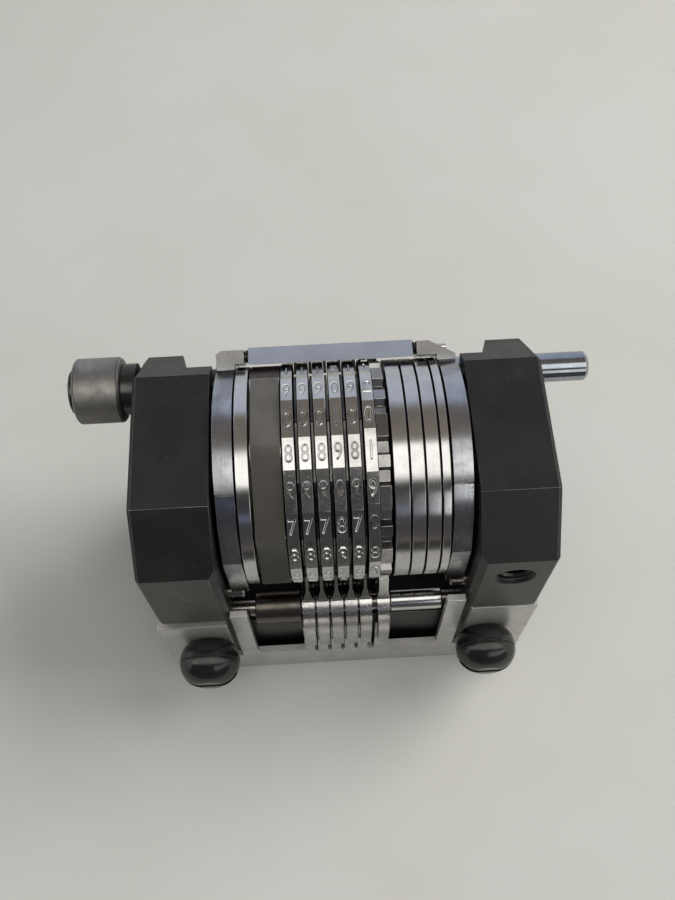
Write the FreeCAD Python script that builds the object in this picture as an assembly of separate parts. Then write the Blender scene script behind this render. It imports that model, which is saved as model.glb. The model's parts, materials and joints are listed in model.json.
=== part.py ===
import FreeCAD, Part
import math
import os

# Numbering head for a printing press, in millimetres.
# X runs along the number wheel axle, Y points to the rear, Z is up.
# The origin lies on the base, under the middle of the axle.
# Angles about the axle are measured from straight up, positive towards the rear.

# Side plates
inner_width = 50.0
plate_thickness = 15.0
plate_height = 76.0
front_margin = 2.8
rear_margin = 2.5
wheel_rise = 3.1
front_chamfer = 10.4
rear_chamfer = 12.2
outer_bevel = 0.7
inner_bevel = 1.3
relief_depth = 7.8
relief_width = 5.1
relief_floor = 22.0
relief_slant = 1.9

# Axle
axle_radius = 6.0
axle_inset = 0.5
axle_chamfer = 0.8
spacer_wall = 3.0

# Number wheels
wheel_count = 6
wheel_radius = 22.7
wheel_face = 2.2
ratchet_room = 0.87
first_wheel_x = -10.0
large_facet = 20.6
digits_per_wheel = 10
large_facet_centre = 1.7
hub_wall = 7.0
ratchet_inset = 2.2
ratchet_side_gap = 0.21
tooth_depth = 1.1
tooth_back_share = 0.08

# Ratchet of the last wheel
unit_ratchet_inset = 0.5
unit_ratchet_face = 2.2
unit_tooth_depth = 1.6
unit_first_land = -4.0
wide_land = 12.0
narrow_land = 6.0
land_flank = 1.5

# Blank rings and the blank segment
ring_inset = 0.4
ring_groove = 1.7
ring_edge = 0.1
ring_shares = (2.65, 2.35, 2.35, 1.45)
ring_gap = 0.33
first_ring_gap = 0.53
last_ring_gap = 0.4
left_ring_width = 2.5
left_ring_gap = 0.3
left_ring_neck = 0.26
segment_start = 30.0
segment_facet = 44.0
segment_facets = 3.5
carrier_edge = 0.15
carrier_land_inset = 0.5
carrier_land_gap = 0.6

# Rocker
rocker_stroke = 38.0
arm_thickness = 3.75
arm_side_gap = 0.85
arm_inset = 0.85
arm_hub_wall = 4.5
flat_depth = 0.35
flat_angles = (-35.5, -52.5, -78.0)
flat_step_angle = 1.0
toe_width = 2.9
hub_angles = (135.0, 180.0, -145.0)
boss_angle = 62.0
boss_rise = 0.8
boss_thickness = 2.85
boss_length = 11.0
stud_cover = 1.88
boss_flat = 8.0
left_flange = 1.9
right_flange = 4.0
left_bevel_width = 1.0
left_bevel_depth = 0.8
right_bevel_width = 5.2
right_bevel_depth = 2.85

# Stud, cam roller and drive pin
stud_radius = 3.2
stud_wall = 2.75
stud_angle = 52.6
slot_clearance = 0.25
collar_step = 2.0
roller_radius = 6.65
roller_length = 9.4
roller_distance = 3.05
roller_edge = 0.5
journal_step = 0.5
retainer_step = 1.8
retainer_thickness = 1.0
retainer_neck_radius = 1.5
retainer_slot_width = 1.0
retainer_slot_depth = 0.5
retainer_edge = 0.3
pin_radius = 3.0
pin_step_gap = 0.1
pin_reach = 10.9
pin_inner_chamfer = 0.3
pin_end_chamfer = 0.7

# Drive pawl block
pawl_rod_radius = 0.75
rod_end_cover = 1.2
block_clearance = 0.4
block_thickness = 2.7
block_above = 5.0
block_below = 6.0
block_slant = 2.1
block_lip_drop = 0.4
block_lip_length = 4.1
block_side_gap = 0.95
washer_radius = 1.3
blade_side_gap = 0.125
blade_height = 3.0
blade_root = 0.5

# Detent pawls and their shaft
detent_setback = 4.4
detent_drop = 0.7
detent_shaft_radius = 1.8
detent_wall = 2.8
detent_side_gap = 0.47
detent_nose_angle = -118.0
nose_reach = 0.2
nose_thickness = 1.0
blade_back = 2.8
blade_front = 1.2
blade_sink = 1.0
shoulder_foot = 4.2
shoulder_rise = 4.3
tail_length = 12.0
tail_thickness = 1.4
tail_web = 0.8
tail_side_gap = 0.72
sleeve_gap = 0.33
sleeve_edge = 0.2
left_sleeve_radius = 3.3
left_sleeve_inset = 5.0
right_sleeve_radius = 2.3
right_sleeve_inset = 4.5
shaft_seat_depth = 5.0

# Stop pins
stop_radius = 1.4
stop_inset = 0.73
stop_drop = 13.4
stop_reach = 3.5
stop_seat_depth = 8.0
stop_edge = 0.3

# Front plate with its spring comb
comb_thickness = 1.5
face_rise = 6.1
bar_drop = 8.4
slot_drop = 2.1
left_tab_drop = 4.5
right_tab_drop = 1.1
left_tab_overhang = 1.2
right_tab_overhang = 0.4
left_post_width = 3.7
right_post_width = 3.9
right_post_inset = 0.5
left_post_rise = 1.9
right_post_rise = 4.9
finger_gap = 0.77
finger_shift = -0.55
finger_thickness = 0.6
finger_overlap = 6.0
finger_root_gap = 1.2
screw_radius = 3.0
screw_length = 8.0
screw_hole_end = 1.0
left_screw_inset = 6.4
right_screw_inset = 5.7
left_screw_z = 22.5
right_screw_z = 21.5
head_root_radius = 4.7
head_curve_radius = 6.3
head_curve = 2.0
head_radius = 6.7
head_widest = 4.2
head_shoulder_radius = 6.0
head_shoulder = 7.2
head_tip_radius = 2.6
head_height = 9.6
head_groove = 4.35
head_groove_width = 0.5
head_groove_depth = 0.4
screw_slot_width = 1.7
screw_slot_depth = 2.6

# Cross members and the screws that hold them
front_block_setback = 1.7
front_block_back = 4.0
front_block_clearance = 0.9
front_tie_inset = 9.0
rear_bar_front = 9.0
rear_bar_back_gap = 2.2
rear_bar_bottom = 2.0
rear_bar_drop = 9.7
tie_radius = 2.5
tie_head_radius = 4.3
tie_head_height = 4.0
tie_head_sink = 1.0
tie_socket_radius = 2.2
tie_reach = 10.0
tie_lowest = 7.0
tie_spacing = 11.0
tie_edge = 5.5

# Tapped hole in the front of the right plate
tapped_inset = 7.6
tapped_drop = 18.7
tapped_radius = 3.4
tapped_mouth = 0.75
tapped_depth = 14.0

# Clearances
seat_gap = 0.03
running_gap = 0.05
side_gap = 0.12
stop_gap = 0.08
hole_gap = 0.2
end_gap = 0.2

# Places and sizes that follow from the values above
inner_x = inner_width / 2
outer_x = inner_x + plate_thickness
front_reach = wheel_radius + front_margin
rear_reach = wheel_radius + rear_margin
comb_back = -front_reach + comb_thickness
axle_height = plate_height + wheel_rise - wheel_radius
hub_radius = axle_radius + hub_wall
wheel_pitch = wheel_face + ratchet_room
digit_step = 360.0 / digits_per_wheel
ratchet_radius = wheel_radius - ratchet_inset
ratchet_thickness = ratchet_room - 2 * ratchet_side_gap
unit_ratchet_radius = wheel_radius - unit_ratchet_inset
ring_radius = wheel_radius - ring_inset
ring_hub_radius = ring_radius - ring_groove
carrier_land_radius = wheel_radius - carrier_land_inset
arm_outer_x = inner_x - arm_side_gap
arm_inner_x = arm_outer_x - arm_thickness
arm_radius = wheel_radius - arm_inset
arm_hub_radius = axle_radius + arm_hub_wall
flat_radius = arm_radius - flat_depth
boss_inner = arm_radius + boss_rise
boss_outer = boss_inner + boss_thickness
block_inner = wheel_radius + block_clearance
block_outer = block_inner + block_thickness
rod_orbit = block_inner + block_thickness / 2
rod_end_x = arm_outer_x - rod_end_cover
stud_orbit = arm_radius - stud_wall
stud_y = stud_orbit * math.sin(math.radians(stud_angle))
stud_z = axle_height + stud_orbit * math.cos(math.radians(stud_angle))
boss_above = stud_cover + stud_orbit * math.sin(math.radians(boss_angle - stud_angle))
roller_right_x = -outer_x - roller_distance
roller_left_x = roller_right_x - roller_length
journal_radius = stud_radius - journal_step
detent_y = -front_reach + detent_setback
detent_z = axle_height - wheel_radius - detent_drop
detent_radius = detent_shaft_radius + detent_wall
detent_width = wheel_pitch - detent_side_gap
tail_width = wheel_pitch - tail_side_gap
tail_floor = detent_z - tail_length
face_height = detent_z + face_rise
bar_top = tail_floor - bar_drop
stop_y = flat_radius * math.sin(math.radians(flat_angles[2])) + stop_inset
stop_z = axle_height - stop_drop
front_block_top = detent_z - detent_radius - front_block_clearance
rear_bar_top = axle_height - wheel_radius - rear_bar_drop
rear_bar_back = rear_reach - rear_bar_back_gap
front_tie_y = front_block_back - front_tie_inset
rear_tie_y = (rear_bar_front + rear_bar_back) / 2

os.makedirs("parts", exist_ok=True)


def vec(x, y, z):
    return FreeCAD.Vector(x, y, z)


def span(side, a, b):
    """The range of X between two distances from the middle, on one side."""
    return sorted((side * a, side * b))


def polar(radius, degrees):
    """Y and Z of a point about the axle."""
    a = math.radians(degrees)
    return radius * math.sin(a), axle_height + radius * math.cos(a)


def rod(radius, x0, x1, y=0.0, z=axle_height):
    """Round bar along X, about the axle unless Y and Z are given."""
    return Part.makeCylinder(radius, x1 - x0, vec(x0, y, z), vec(1, 0, 0))


def bevelled_rod(radius, x0, x1, left, right, y=0.0, z=axle_height):
    """Round bar along X with a cone at each end, of the two given sizes."""
    corners = [(x0, 0), (x0, radius - left), (x0 + left, radius), (x1 - right, radius),
               (x1, radius - right), (x1, 0)]
    points = [vec(x, y, z + r) for x, r in corners]
    face = Part.Face(Part.makePolygon(points + points[:1]))
    return face.revolve(vec(0, y, z), vec(1, 0, 0), 360)


def block(x0, x1, y0, y1, z0, z1):
    return Part.makeBox(x1 - x0, y1 - y0, z1 - z0, vec(x0, y0, z0))


def prism(points, x0, x1):
    """Polygon in the YZ plane, drawn out along X."""
    wire = Part.makePolygon([vec(x0, y, z) for y, z in points + points[:1]])
    return Part.Face(wire).extrude(vec(x1 - x0, 0, 0))


def upright(points, z0, z1):
    """Polygon in the XY plane, drawn out along Z."""
    wire = Part.makePolygon([vec(x, y, z0) for x, y in points + points[:1]])
    return Part.Face(wire).extrude(vec(0, 0, z1 - z0))


def arc_edge(radius, start, end, x):
    points = [vec(x, *polar(radius, a)) for a in (start, (start + end) / 2, end)]
    return Part.Arc(*points).toShape()


def sector(inner, outer, start, end, x0, x1):
    """Part of a ring about the axle between two angles."""
    edges = [arc_edge(outer, start, end, x0),
             Part.makeLine(vec(x0, *polar(outer, end)), vec(x0, *polar(inner, end))),
             arc_edge(inner, end, start, x0),
             Part.makeLine(vec(x0, *polar(inner, start)), vec(x0, *polar(outer, start)))]
    return Part.Face(Part.Wire(edges)).extrude(vec(x1 - x0, 0, 0))


def boss_point(radial, along):
    """A point in the frame of the rear boss: out from the axle and down its tangent."""
    a = math.radians(boss_angle)
    y = radial * math.sin(a) + along * math.cos(a)
    z = radial * math.cos(a) - along * math.sin(a)
    return y, axle_height + z


def boss_prism(r0, r1, along0, along1, x0, x1):
    corners = [(r0, along0), (r1, along0), (r1, along1), (r0, along1)]
    return prism([boss_point(r, a) for r, a in corners], x0, x1)


def fuse(shapes):
    whole = shapes[0]
    for shape in shapes[1:]:
        whole = whole.fuse(shape)
    return whole.removeSplitter()


def save(name, shape):
    shape.exportStep("parts/" + name + ".step")
    print(name, len(shape.Solids), shape.isValid(), round(shape.Volume, 2))


def wheel_x(index):
    return first_wheel_x + index * wheel_pitch


def unit_ratchet_span():
    x0 = wheel_x(wheel_count - 1) + wheel_face / 2 + side_gap
    return x0, x0 + unit_ratchet_face


def gap_x(index):
    """Middle of the ratchet gap on the right of a wheel, or of the last ratchet's rim."""
    if index < wheel_count - 1:
        return wheel_x(index) + wheel_pitch / 2
    return sum(unit_ratchet_span()) / 2


def tooth_radius(index):
    return ratchet_radius if index < wheel_count - 1 else unit_ratchet_radius


def blade_width(index):
    """Thickness along X of the blade or nose that works in a ratchet gap."""
    room = ratchet_room if index < wheel_count - 1 else unit_ratchet_face
    return room - 2 * blade_side_gap


def plate_profile():
    return [(-front_reach, 0), (rear_reach, 0), (rear_reach, plate_height - rear_chamfer),
            (rear_reach - rear_chamfer, plate_height), (-front_reach + front_chamfer, plate_height),
            (-front_reach, plate_height - front_chamfer)]


def side_plate(side):
    """One side plate; side is -1 on the left and 1 on the right."""
    x0, x1 = span(side, inner_x, outer_x)
    plate = prism(plate_profile(), x0, x1)
    rim = [e for e in plate.Edges if all(abs(v.X - side * outer_x) < 1e-6 for v in e.Vertexes)]
    plate = plate.makeChamfer(outer_bevel, rim)
    corner = [(side * inner_x, -front_reach), (side * (inner_x + inner_bevel), -front_reach),
              (side * inner_x, -front_reach + inner_bevel)]
    plate = plate.cut(upright(corner, face_height, plate_height))
    plate = plate.cut(block(x0, x1, -front_reach, comb_back, 0, face_height))
    relief_y = rear_reach - relief_depth
    relief = [(side * inner_x, relief_y), (side * (inner_x + relief_width), relief_y),
              (side * (inner_x + relief_width + relief_slant), rear_reach),
              (side * inner_x, rear_reach)]
    plate = plate.cut(upright(relief, relief_floor, plate_height))
    plate = plate.cut(rod(axle_radius + seat_gap, x0, x1))
    plate = plate.cut(stud_slot(x0, x1))
    shaft_seat = span(side, inner_x, inner_x + shaft_seat_depth)
    plate = plate.cut(rod(detent_shaft_radius + seat_gap, *shaft_seat, detent_y, detent_z))
    pin_seat = span(side, inner_x, inner_x + stop_seat_depth)
    plate = plate.cut(rod(stop_radius + seat_gap, *pin_seat, stop_y, stop_z))
    for y, z in tie_places(front_tie_y, front_block_top) + tie_places(rear_tie_y, rear_bar_top):
        plate = plate.cut(rod(tie_radius + seat_gap, x0, x1, y, z))
        recess = span(side, outer_x, outer_x - tie_head_sink - tie_head_height)
        plate = plate.cut(rod(tie_head_radius + hole_gap, *recess, y, z))
    screw_x, screw_z = comb_screw_place(side)
    hole = Part.makeCylinder(screw_radius + seat_gap, screw_length + screw_hole_end,
                             vec(screw_x, comb_back, screw_z), vec(0, 1, 0))
    return plate.cut(hole)


def stud_slot(x0, x1):
    """Curved slot that a stud of the rocker swings in."""
    half = stud_radius + slot_clearance
    end = stud_angle + rocker_stroke
    shape = sector(stud_orbit - half, stud_orbit + half, stud_angle, end, x0, x1)
    for angle in (stud_angle, end):
        shape = shape.fuse(rod(half, x0, x1, *polar(stud_orbit, angle)))
    return shape


def tapped_hole():
    """Threaded bore in the front of a plate, with a countersunk mouth."""
    place = vec(inner_x + tapped_inset, -front_reach, plate_height - tapped_drop)
    bore = Part.makeCylinder(tapped_radius, tapped_depth, place, vec(0, 1, 0))
    mouth = Part.makeCone(tapped_radius + tapped_mouth, tapped_radius, tapped_mouth, place, vec(0, 1, 0))
    return bore.fuse(mouth)


def tie_places(y, top):
    """Y and Z of each screw on one side of a cross member, from the lowest one up."""
    room = max(0.0, top - tie_lowest - tie_edge)
    return [(y, tie_lowest + i * tie_spacing) for i in range(1 + int(room / tie_spacing))]


def tie_screws(places):
    """Socket screws that hold a cross member between the plates."""
    screws = []
    top = outer_x - tie_head_sink
    for side in (-1, 1):
        for y, z in places:
            head = rod(tie_head_radius, *span(side, top, top - tie_head_height), y, z)
            shank = rod(tie_radius, *span(side, top - tie_head_height, inner_x - tie_reach), y, z)
            socket = hexagon(tie_socket_radius, *span(side, top, top - tie_head_height / 2), y, z)
            screws.append(head.fuse(shank).cut(socket))
    return Part.makeCompound(screws)


def hexagon(radius, x0, x1, y, z):
    turns = [math.radians(60 * i) for i in range(6)]
    return prism([(y + radius * math.cos(a), z + radius * math.sin(a)) for a in turns], x0, x1)


def front_cross_block():
    body = block(-inner_x, inner_x, comb_back + front_block_setback, front_block_back, 0, front_block_top)
    return drill_ties(body, tie_places(front_tie_y, front_block_top))


def rear_tie_bar():
    body = block(-inner_x, inner_x, rear_bar_front, rear_bar_back, rear_bar_bottom, rear_bar_top)
    return drill_ties(body, tie_places(rear_tie_y, rear_bar_top))


def drill_ties(body, places):
    for y, z in places:
        for side in (-1, 1):
            hole = span(side, inner_x, inner_x - tie_reach - end_gap)
            body = body.cut(rod(tie_radius + seat_gap, *hole, y, z))
    return body


def finger_span(index):
    middle = gap_x(index) + finger_shift
    half = (wheel_pitch - finger_gap) / 2
    return middle - half, middle + half


def comb_screw_place(side):
    inset = right_screw_inset if side > 0 else left_screw_inset
    return side * (inner_x + inset), right_screw_z if side > 0 else left_screw_z


def front_plate():
    """Bare steel plate with two screw tabs, two posts and a comb of spring fingers."""
    def slab(x0, x1, top, front=-front_reach):
        return block(x0, x1, front, comb_back, 0, top)

    left_end, right_end = outer_x + left_tab_overhang, outer_x + right_tab_overhang
    tab = inner_x + inner_bevel
    left_post = (-inner_x, -inner_x + left_post_width)
    right_post = (inner_x - right_post_inset - right_post_width, inner_x - right_post_inset)
    shapes = [slab(-left_end, right_end, bar_top - slot_drop),
              slab(-left_end, -tab, face_height - left_tab_drop),
              slab(tab, right_end, face_height - right_tab_drop),
              slab(*left_post, face_height + left_post_rise),
              slab(*right_post, face_height + right_post_rise),
              slab(left_post[0], finger_span(0)[0], bar_top),
              slab(finger_span(wheel_count - 1)[1], right_post[1], bar_top)]
    for index in range(wheel_count):
        x0, x1 = finger_span(index)
        shapes.append(slab(x0, x1, tail_floor + finger_overlap, comb_back - finger_thickness))
        shapes.append(slab(x0, x1, tail_floor - finger_root_gap))
    plate = fuse(shapes)
    for side in (-1, 1):
        x, z = comb_screw_place(side)
        hole = Part.makeCylinder(screw_radius + hole_gap, comb_thickness, vec(x, -front_reach, z),
                                 vec(0, 1, 0))
        plate = plate.cut(hole)
    return plate


def comb_screw(side):
    """Slotted screw with a ball-shaped head, grooved around its widest part, and a shank."""
    x, z = comb_screw_place(side)
    outward = vec(0, -1, 0)

    def at(radius, height):
        return vec(x + radius, -front_reach - height, z)

    root, widest, tip = at(head_root_radius, 0), at(head_radius, head_widest), at(head_tip_radius, head_height)
    edges = [Part.Arc(root, at(head_curve_radius, head_curve), widest).toShape(),
             Part.Arc(widest, at(head_shoulder_radius, head_shoulder), tip).toShape(),
             Part.makeLine(tip, at(0, head_height)),
             Part.makeLine(at(0, head_height), at(0, 0)),
             Part.makeLine(at(0, 0), root)]
    head = Part.Face(Part.Wire(edges)).revolve(at(0, 0), outward, 360)
    groove = Part.makeCylinder(head_radius + end_gap, head_groove_width, at(0, head_groove), outward)
    core = Part.makeCylinder(head_radius - head_groove_depth, head_groove_width, at(0, head_groove), outward)
    shank = Part.makeCylinder(screw_radius, comb_thickness + screw_length, at(0, 0), vec(0, 1, 0))
    half = screw_slot_width / 2
    tip_y = -front_reach - head_height
    slot = block(x - head_radius, x + head_radius, tip_y, tip_y + screw_slot_depth, z - half, z + half)
    return fuse([head.cut(groove.cut(core)), shank]).cut(slot)


def wheel_axle():
    end = outer_x - axle_inset
    return bevelled_rod(axle_radius, -end, end, axle_chamfer, axle_chamfer)


def axle_spacer(side):
    x0, x1 = span(side, inner_x - side_gap / 2, arm_outer_x + side_gap)
    return rod(axle_radius + spacer_wall, x0, x1).cut(rod(axle_radius + seat_gap, x0, x1))


def number_wheel(index, turn):
    """Wheel with wide and narrow flats in turn around its rim."""
    points = []
    for step in range(digits_per_wheel):
        middle = large_facet_centre + turn + step * digit_step
        points.append(polar(wheel_radius, middle - large_facet / 2))
        points.append(polar(wheel_radius, middle + large_facet / 2))
    x0, x1 = wheel_x(index) - wheel_face / 2, wheel_x(index) + wheel_face / 2
    return prism(points, x0, x1).cut(rod(axle_radius + running_gap, x0, x1))


def ratchet(index):
    """Thin ratchet on the right of a wheel, on a boss that meets the wheel's face."""
    x0, x1 = gap_x(index) - ratchet_thickness / 2, gap_x(index) + ratchet_thickness / 2
    face = wheel_x(index) + wheel_face / 2
    points = []
    for tooth in range(digits_per_wheel):
        angle = large_facet_centre + tooth * digit_step
        points.append(polar(ratchet_radius - tooth_depth, angle + tooth_back_share * digit_step))
        points.append(polar(ratchet_radius, angle + digit_step))
    shape = fuse([prism(points, x0, x1), rod(hub_radius, face, x1)])
    return shape.cut(rod(axle_radius + running_gap, face, x1))


def unit_ratchet():
    """Wide ratchet of the last wheel, with broad and narrow lands in turn."""
    x0, x1 = unit_ratchet_span()
    floor = unit_ratchet_radius - unit_tooth_depth
    points = []
    for land in range(2 * digits_per_wheel):
        half = (narrow_land if land % 2 else wide_land) / 2
        middle = unit_first_land + land * digit_step / 2
        points.append(polar(floor, middle - half - land_flank))
        points.append(polar(unit_ratchet_radius, middle - half))
        points.append(polar(unit_ratchet_radius, middle + half))
        points.append(polar(floor, middle + half + land_flank))
    shape = fuse([prism(points, x0, x1), rod(hub_radius, x0 - side_gap, x1)])
    return shape.cut(rod(axle_radius + running_gap, x0 - side_gap, x1))


def blank_ring(x0, x1, hub_x1):
    """Plain ring that fills an unused place, with a hub that spaces it from the next."""
    face = bevelled_rod(ring_radius, x0, x1, ring_edge, ring_edge)
    shape = fuse([face, rod(ring_hub_radius, x1, hub_x1)])
    return shape.cut(rod(axle_radius + seat_gap, x0, hub_x1))


def right_ring_spans():
    """Ring faces that share the room between the last ratchet and the right arm."""
    x = unit_ratchet_span()[1] + first_ring_gap
    end = arm_inner_x - side_gap
    room = end - last_ring_gap - x - ring_gap * (len(ring_shares) - 1)
    spans = []
    for share in ring_shares:
        width = room * share / sum(ring_shares)
        spans.append((x, x + width, x + width + ring_gap))
        x += width + ring_gap
    spans[-1] = spans[-1][:2] + (end,)
    return spans


def left_ring_span():
    x0 = -arm_inner_x + side_gap + left_ring_neck
    return x0, x0 + left_ring_width


def segment_span():
    left = left_ring_span()[1] + left_ring_gap + seat_gap
    return left, wheel_x(0) - wheel_face / 2 - 2 * side_gap


def left_ring():
    x0, x1 = left_ring_span()
    face = bevelled_rod(ring_radius, x0, x1, ring_edge, ring_edge)
    hub = rod(ring_hub_radius, x1, x1 + left_ring_gap)
    neck = rod(hub_radius, x0 - left_ring_neck, x0)
    bore = rod(axle_radius + seat_gap, x0 - left_ring_neck, x1 + left_ring_gap)
    return fuse([neck, face, hub]).cut(bore)


def blank_carrier():
    """Hub of the unused places, with a raised land where the segment leaves it bare."""
    x0, x1 = segment_span()
    body = bevelled_rod(ring_hub_radius - seat_gap, x0, x1, carrier_edge, carrier_edge)
    start = segment_start + carrier_land_gap
    end = 360 + segment_start - segment_facets * segment_facet - carrier_land_gap
    body = fuse([body, sector(hub_radius, carrier_land_radius, start, end, x0, x1)])
    return body.cut(rod(axle_radius + seat_gap, x0, x1))


def blank_segment():
    """Dark segment that covers the front of the unused places, with flats outside."""
    end = segment_start - segment_facets * segment_facet
    corners = []
    for index in range(math.ceil(segment_facets)):
        corners.append(polar(wheel_radius, segment_start - index * segment_facet))
    flat = wheel_radius * math.cos(math.radians(segment_facet / 2))
    corners.append(polar(flat, end))
    outline = prism(corners + [(0.0, axle_height)], *segment_span())
    floor = sector(ring_hub_radius, 2 * wheel_radius, end, segment_start, *segment_span())
    return outline.common(floor)


def arm_outline(x):
    """Edges of a rocker arm, from the toe over the top to the rear boss and the hub."""
    toe_floor = stop_z + stop_radius + stop_gap
    flank_y, flank_z = polar(flat_radius, flat_angles[2])
    arc_start = flat_angles[0] + flat_step_angle
    arc_end = boss_angle - math.degrees(math.asin(boss_above / arm_radius))
    front = [(flank_y + toe_width, toe_floor), (flank_y, toe_floor), (flank_y, flank_z),
             polar(flat_radius, flat_angles[1]), polar(flat_radius, flat_angles[0]),
             polar(arm_radius, arc_start)]
    rear = [polar(arm_radius, arc_end), boss_point(boss_inner, -boss_above),
            boss_point(boss_outer, -boss_above), boss_point(boss_outer, boss_flat - boss_above),
            boss_point(boss_inner, boss_length - boss_above)]
    rear += [polar(arm_hub_radius, a) for a in hub_angles] + [front[0]]
    edges = [arc_edge(arm_radius, arc_start, arc_end, x)]
    for chain in (front, rear):
        edges += [Part.makeLine(vec(x, *a), vec(x, *b)) for a, b in zip(chain[:-1], chain[1:])]
    return Part.sortEdges(edges)[0]


def rocker_arm(side, flange, bevel_width, bevel_depth):
    """Arm with a flange at the rear that carries the rod of the drive pawl block."""
    x0, x1 = span(side, arm_inner_x, arm_outer_x)
    plate = Part.Face(Part.Wire(arm_outline(x0))).extrude(vec(x1 - x0, 0, 0))
    flange_x = span(side, arm_inner_x - flange, arm_inner_x)
    ledge = boss_prism(boss_inner, boss_outer, -boss_above, boss_flat - boss_above, *flange_x)
    arm = fuse([plate, rod(arm_hub_radius, x0, x1), ledge])
    arm = arm.cut(boss_bevel(side, bevel_width, bevel_depth))
    arm = arm.cut(rod(axle_radius + running_gap, x0, x1))
    arm = arm.cut(rod(stud_radius + seat_gap, x0, x1, stud_y, stud_z))
    rod_x = span(side, arm_inner_x - flange, rod_end_x + end_gap)
    return arm.cut(rod(pawl_rod_radius + seat_gap, *rod_x, *boss_point(rod_orbit, 0)))


def boss_bevel(side, width, depth):
    """Slanted cut on the outer side of the rear boss, in the boss's own frame."""
    corners = [(boss_outer - depth, arm_outer_x), (boss_outer, arm_outer_x - width),
               (boss_outer + end_gap, arm_outer_x - width), (boss_outer + end_gap, inner_x),
               (boss_outer - depth, inner_x)]
    points = [vec(side * x, *boss_point(r, -boss_length)) for r, x in corners]
    run_y, run_z = boss_point(0, 2 * boss_length)
    return Part.Face(Part.makePolygon(points + points[:1])).extrude(vec(0, run_y, run_z - axle_height))


def pawl_rod():
    return rod(pawl_rod_radius, -rod_end_x, rod_end_x, *boss_point(rod_orbit, 0))


def roller_stud():
    """Stud of the left arm, with a collar and a smaller journal for the cam roller."""
    shank = rod(stud_radius, roller_right_x, -arm_inner_x, stud_y, stud_z)
    collar = rod(stud_radius + collar_step, roller_right_x + running_gap, -outer_x - side_gap,
                 stud_y, stud_z)
    journal = rod(journal_radius, roller_left_x, roller_right_x, stud_y, stud_z)
    return fuse([shank, collar, journal])


def cam_roller():
    body = bevelled_rod(roller_radius, roller_left_x, roller_right_x, roller_edge, roller_edge,
                        stud_y, stud_z)
    return body.cut(rod(journal_radius + running_gap, roller_left_x, roller_right_x, stud_y, stud_z))


def roller_retainer():
    """Flat screw on the end of the stud, which keeps the roller on."""
    under = roller_left_x - side_gap
    top = under - retainer_thickness
    radius = journal_radius + retainer_step
    head = bevelled_rod(radius, top, under, retainer_edge, 0, stud_y, stud_z)
    neck = rod(retainer_neck_radius, under, roller_left_x, stud_y, stud_z)
    half = retainer_slot_width / 2
    slot = block(top, top + retainer_slot_depth, stud_y - radius, stud_y + radius,
                 stud_z - half, stud_z + half)
    return fuse([head, neck]).cut(slot)


def drive_pin():
    """Pin of the right arm, whose slightly thinner end sticks out of the right plate."""
    step = outer_x + pin_step_gap
    shank = bevelled_rod(stud_radius, arm_inner_x, step, pin_inner_chamfer, 0, stud_y, stud_z)
    free = bevelled_rod(pin_radius, step, outer_x + pin_reach, 0, pin_end_chamfer, stud_y, stud_z)
    return fuse([shank, free])


def block_span():
    return -arm_inner_x + left_flange + block_side_gap, arm_inner_x - right_flange - block_side_gap


def rod_washer(x0, x1):
    """Washer on the rod that fills the room between the block and a flange."""
    place = boss_point(rod_orbit, 0)
    body = rod(washer_radius, x0 + side_gap / 2, x1 - side_gap / 2, *place)
    return body.cut(rod(pawl_rod_radius + seat_gap, x0, x1, *place))


def drive_pawl_block():
    """Cross bar with a slanted near end, a lip close to the wheels and one blade for each ratchet."""
    left, right = block_span()
    end = -block_above - block_slant
    corners = [(wheel_radius - block_lip_drop, end), (block_outer, -block_above), (block_outer, block_below),
               (block_inner, block_below), (block_inner, end + block_lip_length)]
    shapes = [prism([boss_point(r, a) for r, a in corners], left, right)]
    near = block_below - blade_height
    for index in range(wheel_count):
        tip = math.sqrt((tooth_radius(index) + nose_reach) ** 2 - near ** 2)
        half = blade_width(index) / 2
        shapes.append(boss_prism(tip, block_inner + blade_root, near, block_below,
                                 gap_x(index) - half, gap_x(index) + half))
    bore = rod(pawl_rod_radius + running_gap, left, right, *boss_point(rod_orbit, 0))
    return fuse(shapes).cut(bore)


def pawl_shoulder(side, x, half):
    """Foot of a pawl's blade, as wide as the boss below and as thin as the blade above."""
    wide = detent_width / 2
    foot = detent_z + shoulder_foot
    top = foot + shoulder_rise
    points = [(x - wide, detent_z), (x - wide, foot), (x - half, top), (x + half, top), (x + wide, foot),
              (x + wide, detent_z)]
    corners = [vec(px, -front_reach, pz) for px, pz in points]
    front = Part.Face(Part.makePolygon(corners + corners[:1])).extrude(vec(0, front_reach, 0))
    return prism(side, x - wide, x + wide).common(front)


def detent_pawl(index):
    """Pawl on the front shaft: a blade up to the ratchet, a round boss and a tail."""
    x = gap_x(index)
    y, z = detent_y, detent_z
    x0, x1 = x - detent_width / 2, x + detent_width / 2
    half = blade_width(index) / 2
    tip_y, tip_z = polar(tooth_radius(index) + nose_reach, detent_nose_angle)
    root = z + detent_radius - blade_sink
    side = [(tip_y - nose_thickness, tip_z - nose_thickness / 2), (tip_y, tip_z),
            (y + blade_back, root), (y - blade_front, root)]
    blade = prism(side, x - half, x + half).fuse(pawl_shoulder(side, x, half))
    back = -front_reach
    front = back - tail_thickness
    tail = prism([(back, tail_floor), (front, tail_floor), (front, z - detent_radius / 2),
                  (y - detent_radius, z + detent_radius / 2), (y, z), (y, z - detent_radius),
                  (back, z - tail_web)], x - tail_width / 2, x + tail_width / 2)
    shape = fuse([rod(detent_radius, x0, x1, y, z), tail, blade])
    return shape.cut(rod(detent_shaft_radius + running_gap, x0, x1, y, z))


def detent_shaft():
    end = inner_x + shaft_seat_depth - end_gap
    return rod(detent_shaft_radius, -end, end, detent_y, detent_z)


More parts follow.
